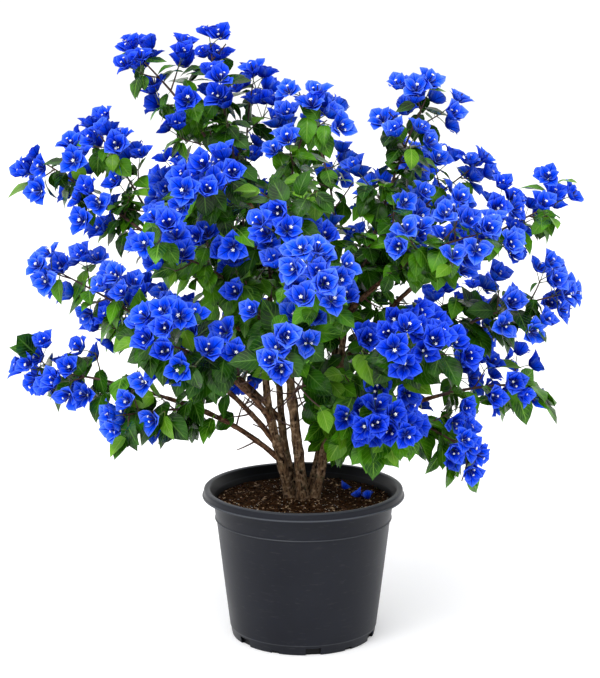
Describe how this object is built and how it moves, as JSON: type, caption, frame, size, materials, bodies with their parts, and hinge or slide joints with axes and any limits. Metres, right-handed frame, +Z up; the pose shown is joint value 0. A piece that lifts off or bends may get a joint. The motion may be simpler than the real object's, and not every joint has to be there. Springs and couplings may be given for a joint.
{
  "type": "bougainvillea bush in a pot",
  "caption": "Bougainvillea bush in full blue flower: woody stems from one root, arching boughs and open sprays of flowers and leaves, in a round tapered nursery pot with a turned-out rim.",
  "frame": {"origin": "centre of the pot's flat underside, on the ground", "axes": "+Z up; +X to the right and -Y to the front of the side that the bush shows; metres"},
  "size_m": [0.8379, 0.738, 0.8983],
  "materials": {
    "pot": "black moulded plastic, satin, lightly scuffed",
    "soil": "damp dark bark and peat potting mix with a few pale grains",
    "bark": "rough grey-brown bark, redder on thin twigs",
    "blossom": "papery blue bracts with fine veins and tiny white flowers",
    "foliage": "glossy deep green leaves with paler veins"
  },
  "bodies": {
    "root": {"pot": "pot", "soil": "soil", "stem_back_left": "bark", "stem_back_right": "bark", "stem_centre": "bark", "stem_left": "bark", "stem_right": "bark", "bough_back_left": "bark", "bough_back_left_up": "bark", "bough_back_right": "bark", "bough_back_right_up": "bark", "bough_crest_left": "bark", "bough_front_centre": "bark", "bough_front_left": "bark", "bough_front_left_up": "bark", "bough_front_right": "bark", "bough_front_right_up": "bark", "bough_low_left": "bark", "bough_mid_left": "bark", "bough_right_low": "bark", "bough_right_mid": "bark", "bough_right_tip": "bark", "bough_top_right": "bark", "bough_upper_left": "bark", "spray_back_left": "blossom", "spray_back_left_up": "blossom", "spray_back_low": "blossom", "spray_back_right": "blossom", "spray_back_right_up": "blossom", "spray_back_top": "blossom", "spray_crest": "blossom", "spray_crest_left": "blossom", "spray_front_centre": "blossom", "spray_front_left": "blossom", "spray_front_left_up": "blossom", "spray_front_low": "blossom", "spray_front_low_right": "blossom", "spray_front_mid_left": "blossom", "spray_front_right": "blossom", "spray_front_right_up": "blossom", "spray_front_upper": "blossom", "spray_leaves_back": "foliage", "spray_leaves_front": "foliage", "spray_leaves_left": "foliage", "spray_leaves_low_back": "foliage", "spray_leaves_low_right": "foliage", "spray_leaves_right": "foliage", "spray_left_top": "blossom", "spray_low_left": "blossom", "spray_low_left_front": "blossom", "spray_low_right_front": "blossom", "spray_mid_left": "blossom", "spray_right_low": "blossom", "spray_right_mid": "blossom", "spray_right_tip": "blossom", "spray_right_upper": "blossom", "spray_top_back_left": "blossom", "spray_top_mid": "blossom", "spray_top_right": "blossom", "spray_upper_left": "blossom"}
  },
  "joints": []
}
